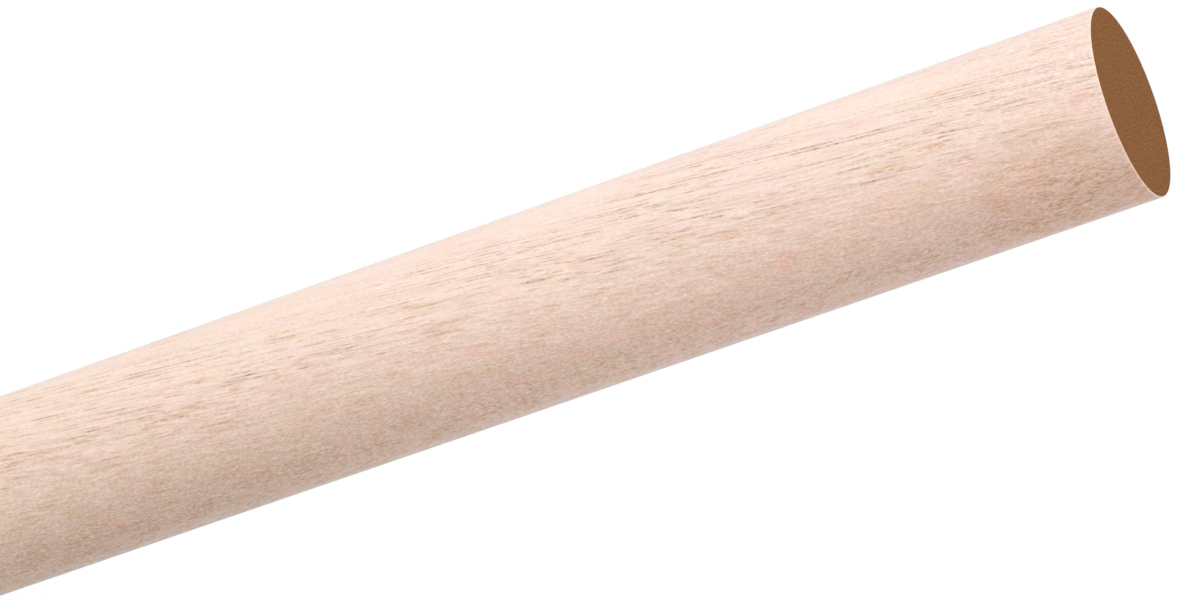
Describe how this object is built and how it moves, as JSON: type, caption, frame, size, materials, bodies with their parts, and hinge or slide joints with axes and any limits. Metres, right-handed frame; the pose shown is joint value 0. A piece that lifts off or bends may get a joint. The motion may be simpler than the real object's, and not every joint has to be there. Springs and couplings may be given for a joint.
{
  "type": "wooden dowel rod",
  "caption": "Straight round hardwood dowel rod, sawn square at both ends, with one end sealed brown; stock for pegs, rails, axles and craft joints.",
  "frame": {"origin": "centre of the plain sawn end, on which the rod stands", "axes": "+Z along the rod's axis, up towards the brown end; the section is round, so X and Y have no preferred direction"},
  "size_m": [0.025, 0.025, 0.3],
  "materials": {
    "bare_wood": "sanded bare hardwood, matte, pale pinkish cream with fine dark pore lines; the upper end face has a flat brown seal coat"
  },
  "bodies": {
    "root": {"dowel_rod": "bare_wood"}
  },
  "joints": []
}
